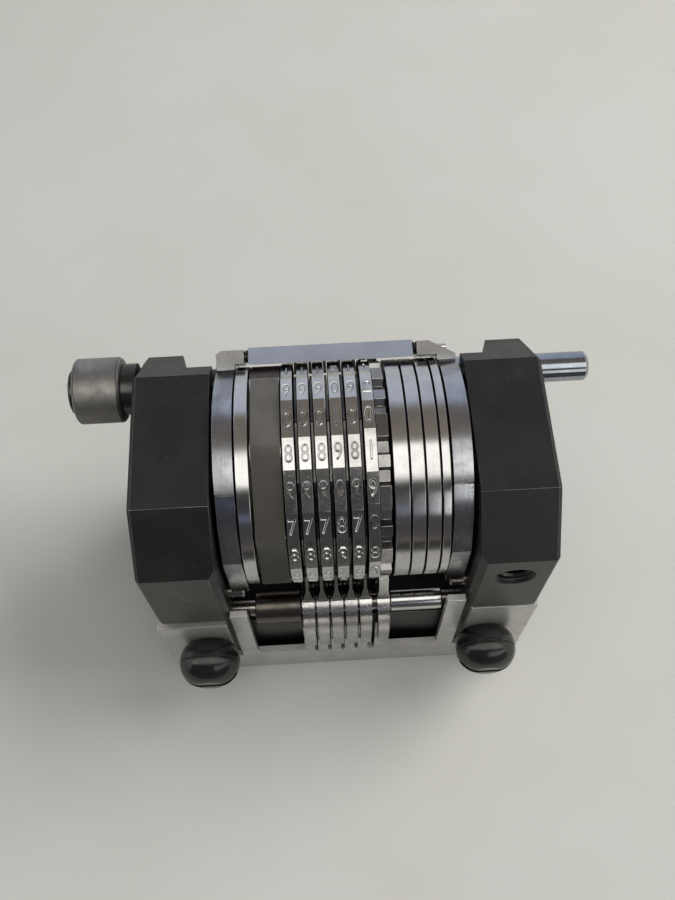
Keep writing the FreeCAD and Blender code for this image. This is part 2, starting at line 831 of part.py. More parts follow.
def detent_sleeve(x0, x1, radius):
    body = bevelled_rod(radius, x0, x1, sleeve_edge, sleeve_edge, detent_y, detent_z)
    return body.cut(rod(detent_shaft_radius + seat_gap, x0, x1, detent_y, detent_z))


def sleeve_spans():
    left = gap_x(0) - detent_width / 2 - sleeve_gap
    right = gap_x(wheel_count - 1) + detent_width / 2 + sleeve_gap
    return (-inner_x + left_sleeve_inset, left), (right, inner_x - right_sleeve_inset)


def stop_pins():
    """Pins in both plates that the toes of the arms rest on."""
    pins = []
    for side in (-1, 1):
        x0, x1 = span(side, inner_x - stop_reach, inner_x + stop_seat_depth - end_gap)
        pins.append(bevelled_rod(stop_radius, x0, x1, stop_edge, stop_edge, stop_y, stop_z))
    return Part.makeCompound(pins)


save("left_side_plate", side_plate(-1))
save("right_side_plate", side_plate(1).cut(tapped_hole()))
save("front_cross_block", front_cross_block())
save("rear_tie_bar", rear_tie_bar())
save("front_tie_screws", tie_screws(tie_places(front_tie_y, front_block_top)))
save("rear_tie_screws", tie_screws(tie_places(rear_tie_y, rear_bar_top)))
save("front_comb_plate", front_plate())
save("wheel_axle", wheel_axle())
for name, side in (("left", -1), ("right", 1)):
    save("comb_screw_" + name, comb_screw(side))
    save("axle_spacer_" + name, axle_spacer(side))
save("left_ring", left_ring())
save("blank_carrier", blank_carrier())
save("blank_segment", blank_segment())
for number, ring_span in enumerate(right_ring_spans()):
    save("blank_ring_%d" % (number + 1), blank_ring(*ring_span))
save("detent_shaft", detent_shaft())
left_sleeve, right_sleeve = sleeve_spans()
save("detent_sleeve_left", detent_sleeve(*left_sleeve, left_sleeve_radius))
save("detent_sleeve_right", detent_sleeve(*right_sleeve, right_sleeve_radius))
save("stop_pins", stop_pins())
for number in range(wheel_count):
    turned = -digit_step / 2 if number == wheel_count - 1 else 0.0
    save("number_wheel_%d" % (number + 1), number_wheel(number, turned))
    save("detent_pawl_%d" % (number + 1), detent_pawl(number))
for number in range(wheel_count - 1):
    save("ratchet_%d" % (number + 1), ratchet(number))
save("unit_ratchet", unit_ratchet())
save("rocker_arm_left", rocker_arm(-1, left_flange, left_bevel_width, left_bevel_depth))
save("rocker_arm_right", rocker_arm(1, right_flange, right_bevel_width, right_bevel_depth))
save("pawl_rod", pawl_rod())
block_left, block_right = block_span()
save("rod_washer_left", rod_washer(block_left - block_side_gap, block_left))
save("rod_washer_right", rod_washer(block_right, block_right + block_side_gap))
save("roller_stud", roller_stud())
save("roller_retainer", roller_retainer())
save("drive_pin", drive_pin())
save("cam_roller", cam_roller())
save("drive_pawl_block", drive_pawl_block())
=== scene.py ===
import json
import math

import bmesh
import bpy
from mathutils import Matrix, Vector


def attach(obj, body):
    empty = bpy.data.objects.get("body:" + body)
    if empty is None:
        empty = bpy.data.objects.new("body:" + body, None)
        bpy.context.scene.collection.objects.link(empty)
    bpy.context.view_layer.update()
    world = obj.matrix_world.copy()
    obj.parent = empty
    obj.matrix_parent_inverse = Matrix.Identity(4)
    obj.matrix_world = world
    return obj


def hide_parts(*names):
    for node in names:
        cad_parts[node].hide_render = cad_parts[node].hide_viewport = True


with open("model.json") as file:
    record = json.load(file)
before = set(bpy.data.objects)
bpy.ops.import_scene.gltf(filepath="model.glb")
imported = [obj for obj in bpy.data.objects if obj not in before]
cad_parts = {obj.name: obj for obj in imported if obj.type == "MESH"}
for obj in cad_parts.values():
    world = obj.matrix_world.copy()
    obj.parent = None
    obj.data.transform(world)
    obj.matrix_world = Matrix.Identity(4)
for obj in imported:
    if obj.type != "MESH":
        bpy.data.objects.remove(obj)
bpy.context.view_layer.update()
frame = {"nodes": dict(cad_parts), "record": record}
mm = 0.001
axleHeight = 56.4 * mm
print("frame loaded:", len(frame["nodes"]), "nodes")


def bodyOf(node):
    for body, nodes in frame["record"]["behaviour"]["bodies"].items():
        if node in nodes:
            return body


# Shader graphs: a node is made by one call, and values add up as Python sums
class Value:
    def __init__(self, graph, socket):
        self.graph = graph
        self.socket = socket

    def maths(self, operation, a, b=0.0):
        return self.graph.node("ShaderNodeMath", {"operation": operation}, {0: a, 1: b})

    def __add__(self, other):
        return self.maths("ADD", self, other)

    def __radd__(self, other):
        return self.maths("ADD", other, self)

    def __sub__(self, other):
        return self.maths("SUBTRACT", self, other)

    def __rsub__(self, other):
        return self.maths("SUBTRACT", other, self)

    def __mul__(self, other):
        return self.maths("MULTIPLY", self, other)

    def __rmul__(self, other):
        return self.maths("MULTIPLY", other, self)

    def root(self):
        return self.maths("SQRT", self)

    def band(self, low, high):
        # 0 below low, 1 above high and smooth between
        return self.graph.node("ShaderNodeMapRange", {"interpolation_type": "SMOOTHSTEP"},
                               {"Value": self, "From Min": low, "From Max": high})


class Graph:
    def __init__(self, tree):
        self.tree = tree
        tree.nodes.clear()

    def node(self, kind, settings=None, sockets=None, out=0):
        made = self.tree.nodes.new(kind)
        for key, value in (settings or {}).items():
            if key == "stops":
                ramp = made.color_ramp
                while len(ramp.elements) < len(value):
                    ramp.elements.new(0.5)
                for element, (place, colour) in zip(ramp.elements, value):
                    element.position = place
                    element.color = colour if len(colour) == 4 else (*colour, 1.0)
            else:
                setattr(made, key, value)
        for key, value in (sockets or {}).items():
            if isinstance(value, Value):
                self.tree.links.new(value.socket, made.inputs[key])
            else:
                made.inputs[key].default_value = value
        return Value(self, made.outputs[out])

    def place(self, scale=(1, 1, 1), turn=(0, 0, 0)):
        point = self.node("ShaderNodeTexCoord", out=3)
        return self.node("ShaderNodeMapping", None, {"Vector": point, "Scale": scale, "Rotation": turn})

    def noise(self, where, scale, detail=3.0, rough=0.55):
        return self.node("ShaderNodeTexNoise", None,
                         {"Vector": where, "Scale": scale, "Detail": detail, "Roughness": rough})

    def mix(self, factor, a, b):
        return self.node("ShaderNodeMix", {"data_type": "RGBA"}, {0: factor, 6: a, 7: b}, out=2)

    def finish(self, shader, kind="ShaderNodeOutputMaterial"):
        end = self.tree.nodes.new(kind)
        self.tree.links.new(shader.socket, end.inputs["Surface"])


def newLook(name):
    material = bpy.data.materials.new(name)
    material.use_nodes = True
    return material, Graph(material.node_tree)


# Finishes: two tones, the roughness and its spread, the grain's stretch along X, Y and Z, its
# scale and its depth, how metallic it is, and where shade is painted on, with that painted shade's tone
finishes = {
    "groundSteel": dict(tone=(0.62, 0.615, 0.61), dim=(0.44, 0.43, 0.42), rough=0.13, spread=0.14,
                        grain=(1.0, 0.02, 0.02), fine=3500, depth=0.05, metal=1.0),
    # The arms get painted shade on their rear bosses and below 50 mm height
    "armSteel": dict(tone=(0.48, 0.49, 0.52), dim=(0.17, 0.17, 0.18), rough=0.16, spread=0.30,
                     grain=(1.0, 0.05, 0.05), fine=2600, depth=0.06, metal=1.0,
                     shade=(("back", 14, 18, 0.9), ("up", 50, 46, 0.9)), shadeTone=(0.13, 0.125, 0.12)),
    # The pawl block gets painted shade on its blades within 23 mm of the axle, between the wheels
    "barSteel": dict(tone=(0.64, 0.66, 0.69), dim=(0.50, 0.52, 0.56), rough=0.26, spread=0.16,
                     grain=(0.05, 1.0, 1.0), fine=2600, depth=0.06, metal=1.0,
                     shade=(("radius", 23.15, 22.95, 1.0),), shadeTone=(0.05, 0.045, 0.04)),
    # The detent pawls get painted shade on their blades above and their boss fronts below, less of it
    # on the tails
    "pawlSteel": dict(tone=(0.66, 0.65, 0.63), dim=(0.30, 0.29, 0.28), rough=0.20, spread=0.25,
                      grain=(1.0, 1.0, 1.0), fine=3200, depth=0.45, metal=1.0,
                      shade=(("up", 37.4, 38.8, 0.90), ("up", 36.0, 33.6, 0.60),
                             ("back", -26.0, -26.6, -0.55)), shadeTone=(0.07, 0.065, 0.06)),
    # Dark steel for the rod washers, and painted shade for the sides and hubs in the gaps between rings
    # and wheels
    "oilSteel": dict(tone=(0.055, 0.052, 0.048), dim=(0.02, 0.019, 0.018), rough=0.30, spread=0.2,
                     grain=(1.0, 1.0, 1.0), fine=2000, depth=0.05, metal=0.9),
    "sleeveSteel": dict(tone=(0.16, 0.14, 0.125), dim=(0.08, 0.07, 0.062), rough=0.26, spread=0.2,
                        grain=(0.2, 1.0, 1.0), fine=2200, depth=0.06, metal=1.0),
    "shaftSteel": dict(tone=(0.34, 0.31, 0.28), dim=(0.16, 0.145, 0.13), rough=0.2, spread=0.2,
                       grain=(1.0, 0.1, 0.1), fine=2200, depth=0.1, metal=1.0),
    "pinSteel": dict(tone=(0.40, 0.43, 0.47), dim=(0.24, 0.26, 0.29), rough=0.10, spread=0.12,
                     grain=(1.0, 0.3, 0.3), fine=2200, depth=0.05, metal=1.0),
    "wheelSteel": dict(tone=(0.63, 0.625, 0.61), dim=(0.40, 0.39, 0.375), rough=0.11, spread=0.18,
                       grain=(1.0, 0.25, 0.25), fine=2400, depth=0.06, metal=1.0),
    # The ratchets between the wheels are dark: painted shade in the gaps
    "ratchetSteel": dict(tone=(0.16, 0.155, 0.15), dim=(0.05, 0.048, 0.045), rough=0.26, spread=0.2,
                         grain=(0.3, 1.0, 1.0), fine=2500, depth=0.06, metal=1.0),
    "unitSteel": dict(tone=(0.42, 0.41, 0.40), dim=(0.17, 0.165, 0.16), rough=0.18, spread=0.15,
                      grain=(0.3, 1.0, 1.0), fine=2500, depth=0.06, metal=1.0),
    "chrome": dict(tone=(0.80, 0.80, 0.79), dim=(0.62, 0.61, 0.60), rough=0.07, spread=0.10,
                   grain=(0.2, 1.0, 1.0), fine=1800, depth=0.02, metal=1.0),
    "milledSteel": dict(tone=(0.60, 0.59, 0.555), dim=(0.42, 0.41, 0.385), rough=0.30, spread=0.16,
                        grain=(0.03, 1.0, 1.0), fine=3000, depth=0.10, metal=0.55),
    "rollerSteel": dict(tone=(0.36, 0.35, 0.325), dim=(0.17, 0.16, 0.15), rough=0.46, spread=0.22,
                        grain=(1.0, 0.12, 0.12), fine=1500, depth=0.15, metal=1.0),
    "darkSteel": dict(tone=(0.085, 0.082, 0.078), dim=(0.035, 0.034, 0.033), rough=0.24, spread=0.15,
                      grain=(0.4, 1.0, 1.0), fine=1800, depth=0.05, metal=0.9),
    # The blank segment gets painted shade towards the front and low down
    "blankSteel": dict(tone=(0.200, 0.186, 0.162), dim=(0.125, 0.116, 0.100), rough=0.38, spread=0.12,
                       grain=(1.0, 0.6, 0.6), fine=1600, depth=0.08, metal=0.7,
                       shade=(("back", -3.5, -6.5, 0.55), ("up", 68, 56, 0.35)),
                       shadeTone=(0.03, 0.028, 0.025)),
    "carrierSteel": dict(tone=(0.13, 0.10, 0.085), dim=(0.045, 0.036, 0.03), rough=0.38, spread=0.25,
                         grain=(1.0, 1.0, 1.0), fine=1400, depth=0.15, metal=1.0),
    "engravedSteel": dict(tone=(0.42, 0.41, 0.40), dim=(0.14, 0.135, 0.13), rough=0.16, spread=0.2,
                          grain=(1.0, 1.0, 1.0), fine=5000, depth=0.1, metal=1.0),
    "typeSteel": dict(tone=(0.58, 0.57, 0.56), dim=(0.30, 0.29, 0.28), rough=0.12, spread=0.2,
                      grain=(1.0, 1.0, 1.0), fine=4000, depth=0.1, metal=1.0),
    "edgeBright": dict(tone=(0.72, 0.71, 0.70), dim=(0.50, 0.49, 0.48), rough=0.16, spread=0.14,
                       grain=(1.0, 1.0, 1.0), fine=1500, depth=0.02, metal=1.0),
    "edgePlate": dict(tone=(0.62, 0.61, 0.59), dim=(0.03, 0.03, 0.03), rough=0.30, spread=0.2,
                      grain=(1.0, 1.0, 1.0), fine=1300, depth=0.05, metal=0.9),
    "screwSteel": dict(tone=(0.060, 0.060, 0.058), dim=(0.022, 0.022, 0.022), rough=0.15, spread=0.10,
                       grain=(1.0, 1.0, 1.0), fine=1800, depth=0.03, metal=0.7),
    # Near-white walls for the engraved digits: painted highlight, so that they show as bright outlines
    "digitWallHighlight": dict(tone=(0.86, 0.855, 0.84), dim=(0.62, 0.61, 0.60), rough=0.32, spread=0.1,
                      grain=(1.0, 1.0, 1.0), fine=5000, depth=0.03, metal=0.35),
    "edgeWorn": dict(tone=(0.17, 0.165, 0.155), dim=(0.045, 0.045, 0.044), rough=0.34, spread=0.2,
                     grain=(1.0, 1.0, 1.0), fine=900, depth=0.05, metal=0.9),
}

# The sixth detent pawl keeps the painted shade on its boss front but not on its blade
finishes["lastPawlSteel"] = dict(finishes["pawlSteel"], shade=finishes["pawlSteel"]["shade"][1:])


# Painted shade on a finish: by height, by place front to back or by distance from the axle,
# from nothing at the first value to the full amount at the second. Below 0 it takes away painted shade
# laid by the others.
def paintedShadeMask(g, shade):
    split = g.node("ShaderNodeSeparateXYZ", None, {0: g.place()}).socket.node.outputs
    back, up = Value(g, split[1]), Value(g, split[2])
    mask = 0.0
    for along, low, high, amount in shade:
        rise = up - axleHeight
        values = {"up": up, "back": back, "radius": (back * back + rise * rise).root()}
        mask = mask + values[along].band(low * mm, high * mm) * amount
    return mask


# Every steel's noise: scale, detail and roughness, the band that is kept, and how much each
# pattern does to the tone, the roughness and the bump
steelNoise = dict(streak=(4.0, 0.6), blotch=(160.0, 3.0, 0.6), blotchBand=(0.36, 0.66),
                  speck=(1500.0, 2.0, 0.5), speckBand=(0.60, 0.72), bump=0.05, speckBump=0.5,
                  tone=dict(blotch=0.45, streak=0.35, speck=0.35),
                  rough=dict(streak=0.5, blotch=0.35, speck=0.4, less=0.15))


def metalFinish(name, look):
    n, tone, spread = steelNoise, steelNoise["tone"], steelNoise["rough"]
    material, g = newLook(name)
    streak = g.noise(g.place(look["grain"]), look["fine"], *n["streak"])
    blotch = g.noise(g.place(), *n["blotch"]).band(*n["blotchBand"])
    speck = g.noise(g.place(), *n["speck"]).band(*n["speckBand"])
    worn = blotch * tone["blotch"] + streak * tone["streak"]
    colour = g.mix(worn, look["tone"] + (1,), look["dim"] + (1,))
    colour = g.mix(speck * tone["speck"], colour, look["dim"] + (1,))
    if "shade" in look:
        colour = g.mix(paintedShadeMask(g, look["shade"]), colour, look["shadeTone"] + (1,))
    uneven = streak * spread["streak"] + blotch * spread["blotch"] + speck * spread["speck"]
    rough = look["rough"] + look["spread"] * (uneven - spread["less"])
    bump = g.node("ShaderNodeBump", None, {"Strength": look["depth"], "Distance": n["bump"] * mm,
                                           "Height": streak + speck * n["speckBump"]})
    shader = g.node("ShaderNodeBsdfPrincipled", None,
                    {"Base Color": colour, "Roughness": rough, "Metallic": look["metal"],
                     "Normal": bump})
    g.finish(shader)
    return material


# Blackened plate: faint milling lines under a matt brown-black skin with rubbed grey patches and dust
blackPlate = dict(skin=(0.008, 0.008, 0.0085), brown=(0.013, 0.012, 0.011),
                  rubbed=(0.035, 0.034, 0.032), dust=(0.12, 0.115, 0.10),
                  rough=0.42, specular=0.4, depth=0.12, bump=0.05,
                  cloudNoise=(90.0, 4.0, 0.6), cloudBand=(0.38, 0.68), cloudRough=0.08,
                  lineStretch=(0.05, 1.0, 0.2), lineNoise=(2600.0, 3.0, 0.6), lineRough=0.06,
                  rubStretch=(1.0, 1.0, 0.5), rubNoise=(260.0, 5.0, 0.7), rubBand=(0.60, 0.74),
                  rubTone=0.5, rubRough=0.10, dustNoise=(2300.0, 1.0, 0.4), dustBand=(0.73, 0.78),
                  dustTone=0.35, dustBump=2.0)


def blackFinish(name, look):
    material, g = newLook(name)
    cloud = g.noise(g.place(), *look["cloudNoise"]).band(*look["cloudBand"])
    lines = g.noise(g.place(look["lineStretch"]), *look["lineNoise"])
    rubbed = g.noise(g.place(look["rubStretch"]), *look["rubNoise"]).band(*look["rubBand"])
    dust = g.noise(g.place(), *look["dustNoise"]).band(*look["dustBand"])
    colour = g.mix(cloud, look["skin"] + (1,), look["brown"] + (1,))
    colour = g.mix(rubbed * look["rubTone"], colour, look["rubbed"] + (1,))
    colour = g.mix(dust * look["dustTone"], colour, look["dust"] + (1,))
    rough = look["rough"] + cloud * look["cloudRough"] - rubbed * look["rubRough"] \
        + lines * look["lineRough"]
    bump = g.node("ShaderNodeBump", None, {"Strength": look["depth"], "Distance": look["bump"] * mm,
                                           "Height": lines + dust * look["dustBump"]})
    shader = g.node("ShaderNodeBsdfPrincipled", None, {"Base Color": colour, "Roughness": rough,
                                                       "Specular IOR Level": look["specular"],
                                                       "Normal": bump})
    g.finish(shader)
    return material


looks = {name: metalFinish(name, look) for name, look in finishes.items()}
looks["blackOxide"] = blackFinish("blackOxide", blackPlate)
looks["blackInside"] = blackFinish("blackInside", dict(blackPlate, rough=0.36,
                                                       rubbed=(0.02, 0.02, 0.02)))
# A lighter copy of the black finish for the plates' front faces: painted light on the side facing the
# front
looks["blackFront"] = blackFinish("blackFront", dict(blackPlate, skin=(0.045, 0.044, 0.040),
                                                     brown=(0.062, 0.060, 0.053),
                                                     rubbed=(0.10, 0.098, 0.09)))
print("finishes ready:", len(looks))


mergeDistance = 0.001 * mm


# A merged copy of a CAD node's mesh, with its flat faces whole again
def mergedCopy(node):
    grid = bmesh.new()
    grid.from_mesh(frame["nodes"][node].data)
    bmesh.ops.remove_doubles(grid, verts=grid.verts, dist=mergeDistance)
    bmesh.ops.dissolve_limit(grid, angle_limit=math.radians(0.4), verts=grid.verts, edges=grid.edges)
    return grid


def objectFrom(grid, name, materials):
    mesh = bpy.data.meshes.new(name)
    grid.to_mesh(mesh)
    grid.free()
    for look in materials:
        mesh.materials.append(looks[look])
    piece = bpy.data.objects.new(name, mesh)
    bpy.context.collection.objects.link(piece)
    return piece


# Rounded edges in their own finish, then normals that keep the flats flat
def finishEdges(piece, width, segments=2, angle=28):
    edges = piece.modifiers.new("roundedEdges", "BEVEL")
    edges.limit_method = "ANGLE"
    edges.angle_limit = math.radians(angle)
    edges.width = width * mm
    edges.segments = segments
    edges.material = 1 if len(piece.data.materials) > 1 else -1
    edges.use_clamp_overlap = True
    smoothed(piece)


def smoothed(piece, angle=40):
    piece.data.shade_smooth()
    piece.data.set_sharp_from_angle(angle=math.radians(angle))
    flats = piece.modifiers.new("flatNormals", "WEIGHTED_NORMAL")
    flats.keep_sharp = True
    flats.weight = 60


def tie(piece, node):
    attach(piece, bodyOf(node))


def pieceName(node):
    words = node.split("_")
    return words[0] + "".join(word.capitalize() for word in words[1:])


# The least cosine between a face's normal and a direction for it to count as facing that way
facing = dict(axle=0.7, front=0.9, digitTop=0.95)


# Faces square to the axle, and all within a radius in millimetres, get the third finish, painted shade
# for the gaps between parts
def paintGapShade(grid, radius):
    for face in grid.faces:
        centre = face.calc_center_median()
        far = math.hypot(centre.y, centre.z - axleHeight)
        if abs(face.normal.x) > facing["axle"] or far < radius * mm:
            face.material_index = 2


# Faces turned to the front get the third finish, the painted-light copy
def litFrontFaces(grid):
    for face in grid.faces:
        if face.normal.y < -facing["front"]:
            face.material_index = 2


def dressed(node, look, edge, width, third=None, choose=None, angle=28):
    grid = mergedCopy(node)
    if choose:
        choose(grid)
    piece = objectFrom(grid, pieceName(node), [look, edge] + ([third] if third else []))
    finishEdges(piece, width, 2, angle)
    tie(piece, node)
    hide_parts(node)
    return piece


# Frame: the plates, the members between them and the hidden screws
frameParts = {
    "left_side_plate": ("blackOxide", "edgePlate", 0.12, "blackFront", litFrontFaces),
    "right_side_plate": ("blackOxide", "edgePlate", 0.12, "blackFront", litFrontFaces),
    "front_cross_block": ("blackInside", "edgeWorn", 0.2),
    "rear_tie_bar": ("blackInside", "edgeWorn", 0.2),
    "front_tie_screws": ("darkSteel", "edgeWorn", 0.15),
    "rear_tie_screws": ("darkSteel", "edgeWorn", 0.15),
    "front_comb_plate": ("milledSteel", "edgeBright", 0.10),
    "comb_screw_left": ("screwSteel", "edgeWorn", 0.10),
    "comb_screw_right": ("screwSteel", "edgeWorn", 0.10),
    "wheel_axle": ("groundSteel", "edgeBright", 0.1),
    "axle_spacer_left": ("groundSteel", "edgeBright", 0.05),
    "axle_spacer_right": ("groundSteel", "edgeBright", 0.05),
    "stop_pins": ("shaftSteel", "edgeBright", 0.06),
    "detent_shaft": ("shaftSteel", "edgeWorn", 0.06),
    "detent_sleeve_left": ("sleeveSteel", "edgeWorn", 0.06),
    "detent_sleeve_right": ("groundSteel", "edgeBright", 0.06),
}
for node, settings in frameParts.items():
    dressed(node, *settings)
print("frame pieces ready:", len(frameParts))

ringGapRadius = 22.0


def ringGapShade(grid):
    paintGapShade(grid, ringGapRadius)


# Drum: blank rings, the dark segment on its carrier, and the ratchets
drumParts = {
    "left_ring": ("groundSteel", "edgeBright", 0.05, "oilSteel", ringGapShade),
    "blank_carrier": ("carrierSteel", "edgeBright", 0.05),
    "blank_segment": ("blankSteel", "edgeBright", 0.14, None, None, 60),
    "unit_ratchet": ("unitSteel", "edgeBright", 0.06),
}
drumParts.update({"blank_ring_%d" % (i + 1): ("groundSteel", "edgeBright", 0.04, "oilSteel", ringGapShade)
                  for i in range(4)})
drumParts.update({"ratchet_%d" % (i + 1): ("ratchetSteel", "edgeWorn", 0.04) for i in range(5)})
for node, settings in drumParts.items():
    dressed(node, *settings)
print("drum pieces ready:", len(drumParts))

# Rocker with its roller, pin and drive pawls, and the detent pawls
rockerParts = {
    "rocker_arm_left": ("armSteel", "edgeBright", 0.10),
    "rocker_arm_right": ("armSteel", "edgeBright", 0.12),
    "pawl_rod": ("chrome", "edgeBright", 0.05),
    "rod_washer_left": ("oilSteel", "edgeWorn", 0.04),
    "rod_washer_right": ("oilSteel", "edgeWorn", 0.04),
    "roller_stud": ("darkSteel", "edgeWorn", 0.08),
    "roller_retainer": ("darkSteel", "edgeWorn", 0.06),
    "drive_pin": ("pinSteel", "edgeBright", 0.05),
    "cam_roller": ("rollerSteel", "edgeWorn", 0.12),
    "drive_pawl_block": ("barSteel", "edgeWorn", 0.10),
}
rockerParts.update({"detent_pawl_%d" % (i + 1): ("pawlSteel", "edgeWorn", 0.1) for i in range(5)})
rockerParts["detent_pawl_6"] = ("lastPawlSteel", "edgeBright", 0.1)
for node, settings in rockerParts.items():
    dressed(node, *settings)
print("rocker and pawls ready:", len(rockerParts))


# Number wheels: engraved digits are cut into the narrow flats, raised ones stand on the wide flats
wheels = dict(count=6, radius=22.7, pitch=3.07, first=-10.0, wide=20.6, middle=1.7, between=18.0,
              edge=0.05, lift=0.08, gapRadius=21.5,
              engraved=dict(height=3.6, width=1.65, half=0.03, slope=0.13, offset=-0.05),
              raised=dict(height=3.7, width=1.8, half=0.03, slope=0.17, offset=-0.01))

# The font's size for a digit of height 1, and a 1's sideways growth as a share of its upward growth
typeface = dict(size=1.4, narrowOne=0.6)


# A digit lying flat, centred, as high and wide as told, with sloping sides
def digitMesh(text, look):
    curve = bpy.data.curves.new("digit", "FONT")
    curve.body = text
    curve.size = typeface["size"] * look["height"] * mm
    curve.extrude = look["half"] * mm
    curve.bevel_depth = look["slope"] * mm
    curve.offset = look["offset"] * mm
    curve.bevel_resolution = 0
    curve.resolution_u = 3
    holder = bpy.data.objects.new("digit", curve)
    bpy.context.collection.objects.link(holder)
    bpy.context.view_layer.update()
    mesh = bpy.data.meshes.new_from_object(holder.evaluated_get(bpy.context.evaluated_depsgraph_get()))
    bpy.data.objects.remove(holder)
    xs = [v.co.x for v in mesh.vertices]
    ys = [v.co.y for v in mesh.vertices]
    grow = (look["width"] * mm / (max(xs) - min(xs)), look["height"] * mm / (max(ys) - min(ys)))
    if text == "1":
        grow = (grow[1] * typeface["narrowOne"], grow[1])
    centre = Vector(((max(xs) + min(xs)) / 2, (max(ys) + min(ys)) / 2, 0))
    mesh.transform(Matrix.Diagonal((grow[0], grow[1], 1, 1)) @ Matrix.Translation(-centre))
    mesh.materials.clear()
    for face in mesh.polygons:
        face.material_index = 0 if abs(face.normal.z) > facing["digitTop"] else 1
    return mesh


# On the rim: the digit's foot points to the front and down, its face out from the axle
def rimPlace(x, angle, radius, mirrored):
    a = math.radians(angle)
    out = Vector((0, math.sin(a), math.cos(a)))
    up = Vector((0, math.cos(a), -math.sin(a)))
    side = Vector((-1 if mirrored else 1, 0, 0))
    turn = Matrix((side, up, out)).transposed().to_4x4()
    return Matrix.Translation(Vector((x * mm, 0, axleHeight)) + out * radius * mm) @ turn


def digitRing(x, first, start, radius, look, mirrored):
    ring = bmesh.new()
    for step in range(10):
        mesh = digitMesh(str((start - step) % 10), look)
        mesh.transform(rimPlace(x, first - 36 * step, radius, mirrored))
        ring.from_mesh(mesh)
        bpy.data.meshes.remove(mesh)
    bmesh.ops.remove_doubles(ring, verts=ring.verts, dist=mergeDistance)
    bmesh.ops.recalc_face_normals(ring, faces=ring.faces)
    return ring


def numberWheel(index):
    w = wheels
    last = index == w["count"] - 1
    x = w["first"] + index * w["pitch"]
    narrow = 36.0 - w["wide"]
    farFlat = w["radius"] * math.cos(math.radians(narrow / 2))
    nearFlat = w["radius"] * math.cos(math.radians(w["wide"] / 2))
    shift = 1 if index == 3 else 0
    grid = mergedCopy("number_wheel_%d" % (index + 1))
    # painted shade on the wheel's sides and hub, inside the gaps between wheels
    paintGapShade(grid, w["gapRadius"])
    edges = [e for e in grid.edges if len(e.link_faces) == 2 and e.calc_face_angle() > 0.2]
    bmesh.ops.bevel(grid, geom=edges, offset=w["edge"] * mm, segments=2, profile=0.5, material=1,
                    affect="EDGES", clamp_overlap=True)
    wheel = objectFrom(grid, "wheelRim%d" % (index + 1),
                       ["wheelSteel", "edgeBright", "oilSteel", "engravedSteel"])
    start = 0 if last else 9
    first = w["middle"] + (0.0 if last else w["between"])
    engraved = digitRing(x, first, start + shift, farFlat, w["engraved"], False)
    cutter = objectFrom(engraved, "cutter", ["engravedSteel", "digitWallHighlight"])
    cut = wheel.modifiers.new("engraving", "BOOLEAN")
    cut.operation = "DIFFERENCE"
    cut.solver = "EXACT"
    cut.object = cutter
    cut.material_mode = "TRANSFER"
    bpy.context.view_layer.update()
    carved = bpy.data.meshes.new_from_object(wheel.evaluated_get(bpy.context.evaluated_depsgraph_get()))
    wheel.modifiers.clear()
    wheel.data = carved
    bpy.data.objects.remove(cutter)
    smoothed(wheel, 30)
    middle = nearFlat + w["raised"]["half"] + w["lift"]
    raised = digitRing(x, first - w["between"], start + shift + 1, middle, w["raised"], True)
    digits = objectFrom(raised, "raisedDigits%d" % (index + 1), ["typeSteel", "edgeBright"])
    smoothed(digits, 25)
    for piece in (wheel, digits):
        tie(piece, "number_wheel_%d" % (index + 1))
    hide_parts("number_wheel_%d" % (index + 1))


for index in range(wheels["count"]):
    numberWheel(index)
print("number wheels ready")

# Thread in the tapped hole: one ridge wound along the bore
thread = dict(x=32.6, front=-25.5, z=57.3, bore=3.4, crest=3.08, pitch=1.25, flank=0.42, turns=9,
              steps=32, start=1.0)


def threadRidge():
    t = thread
    grid = bmesh.new()
    wide = t["pitch"] * t["flank"]
    corners = [(t["bore"], 0.0), (t["crest"], wide), (t["bore"], 2 * wide)]
    ring = [grid.verts.new(((t["x"] + r) * mm, (t["front"] + t["start"] + y) * mm, t["z"] * mm))
            for r, y in corners]
    face = grid.faces.new(ring)
    bmesh.ops.spin(grid, geom=[face] + face.edges[:] + ring, cent=(t["x"] * mm, 0, t["z"] * mm),
                   axis=(0, 1, 0), angle=2 * math.pi * t["turns"], steps=t["turns"] * t["steps"],
                   dvec=(0, t["pitch"] / t["steps"] * mm, 0), use_duplicate=False)
    bmesh.ops.recalc_face_normals(grid, faces=grid.faces)
    piece = objectFrom(grid, "boreThread", ["darkSteel"])
    smoothed(piece, 50)
    tie(piece, "right_side_plate")


threadRidge()

# Floor, lamps, the room that the metal mirrors, and the camera
floorLook = dict(colour=(0.60, 0.595, 0.565), shade=(0.57, 0.565, 0.53), rough=0.75, size=2.6,
                 below=0.02)


def paleFloor():
    material, g = newLook("paleFloor")
    tone = g.noise(g.place(), 12.0, 3.0, 0.6).band(0.3, 0.7)
    colour = g.mix(tone, floorLook["colour"] + (1,), floorLook["shade"] + (1,))
    g.finish(g.node("ShaderNodeBsdfPrincipled", None,
                    {"Base Color": colour, "Roughness": floorLook["rough"], "Specular IOR Level": 0.0}))
    looks["paleFloor"] = material
    grid = bmesh.new()
    bmesh.ops.create_grid(grid, x_segments=1, y_segments=1, size=floorLook["size"] / 2)
    floor = objectFrom(grid, "floor", ["paleFloor"])
    floor.data.transform(Matrix.Translation((0, 0, -floorLook["below"] * mm)))


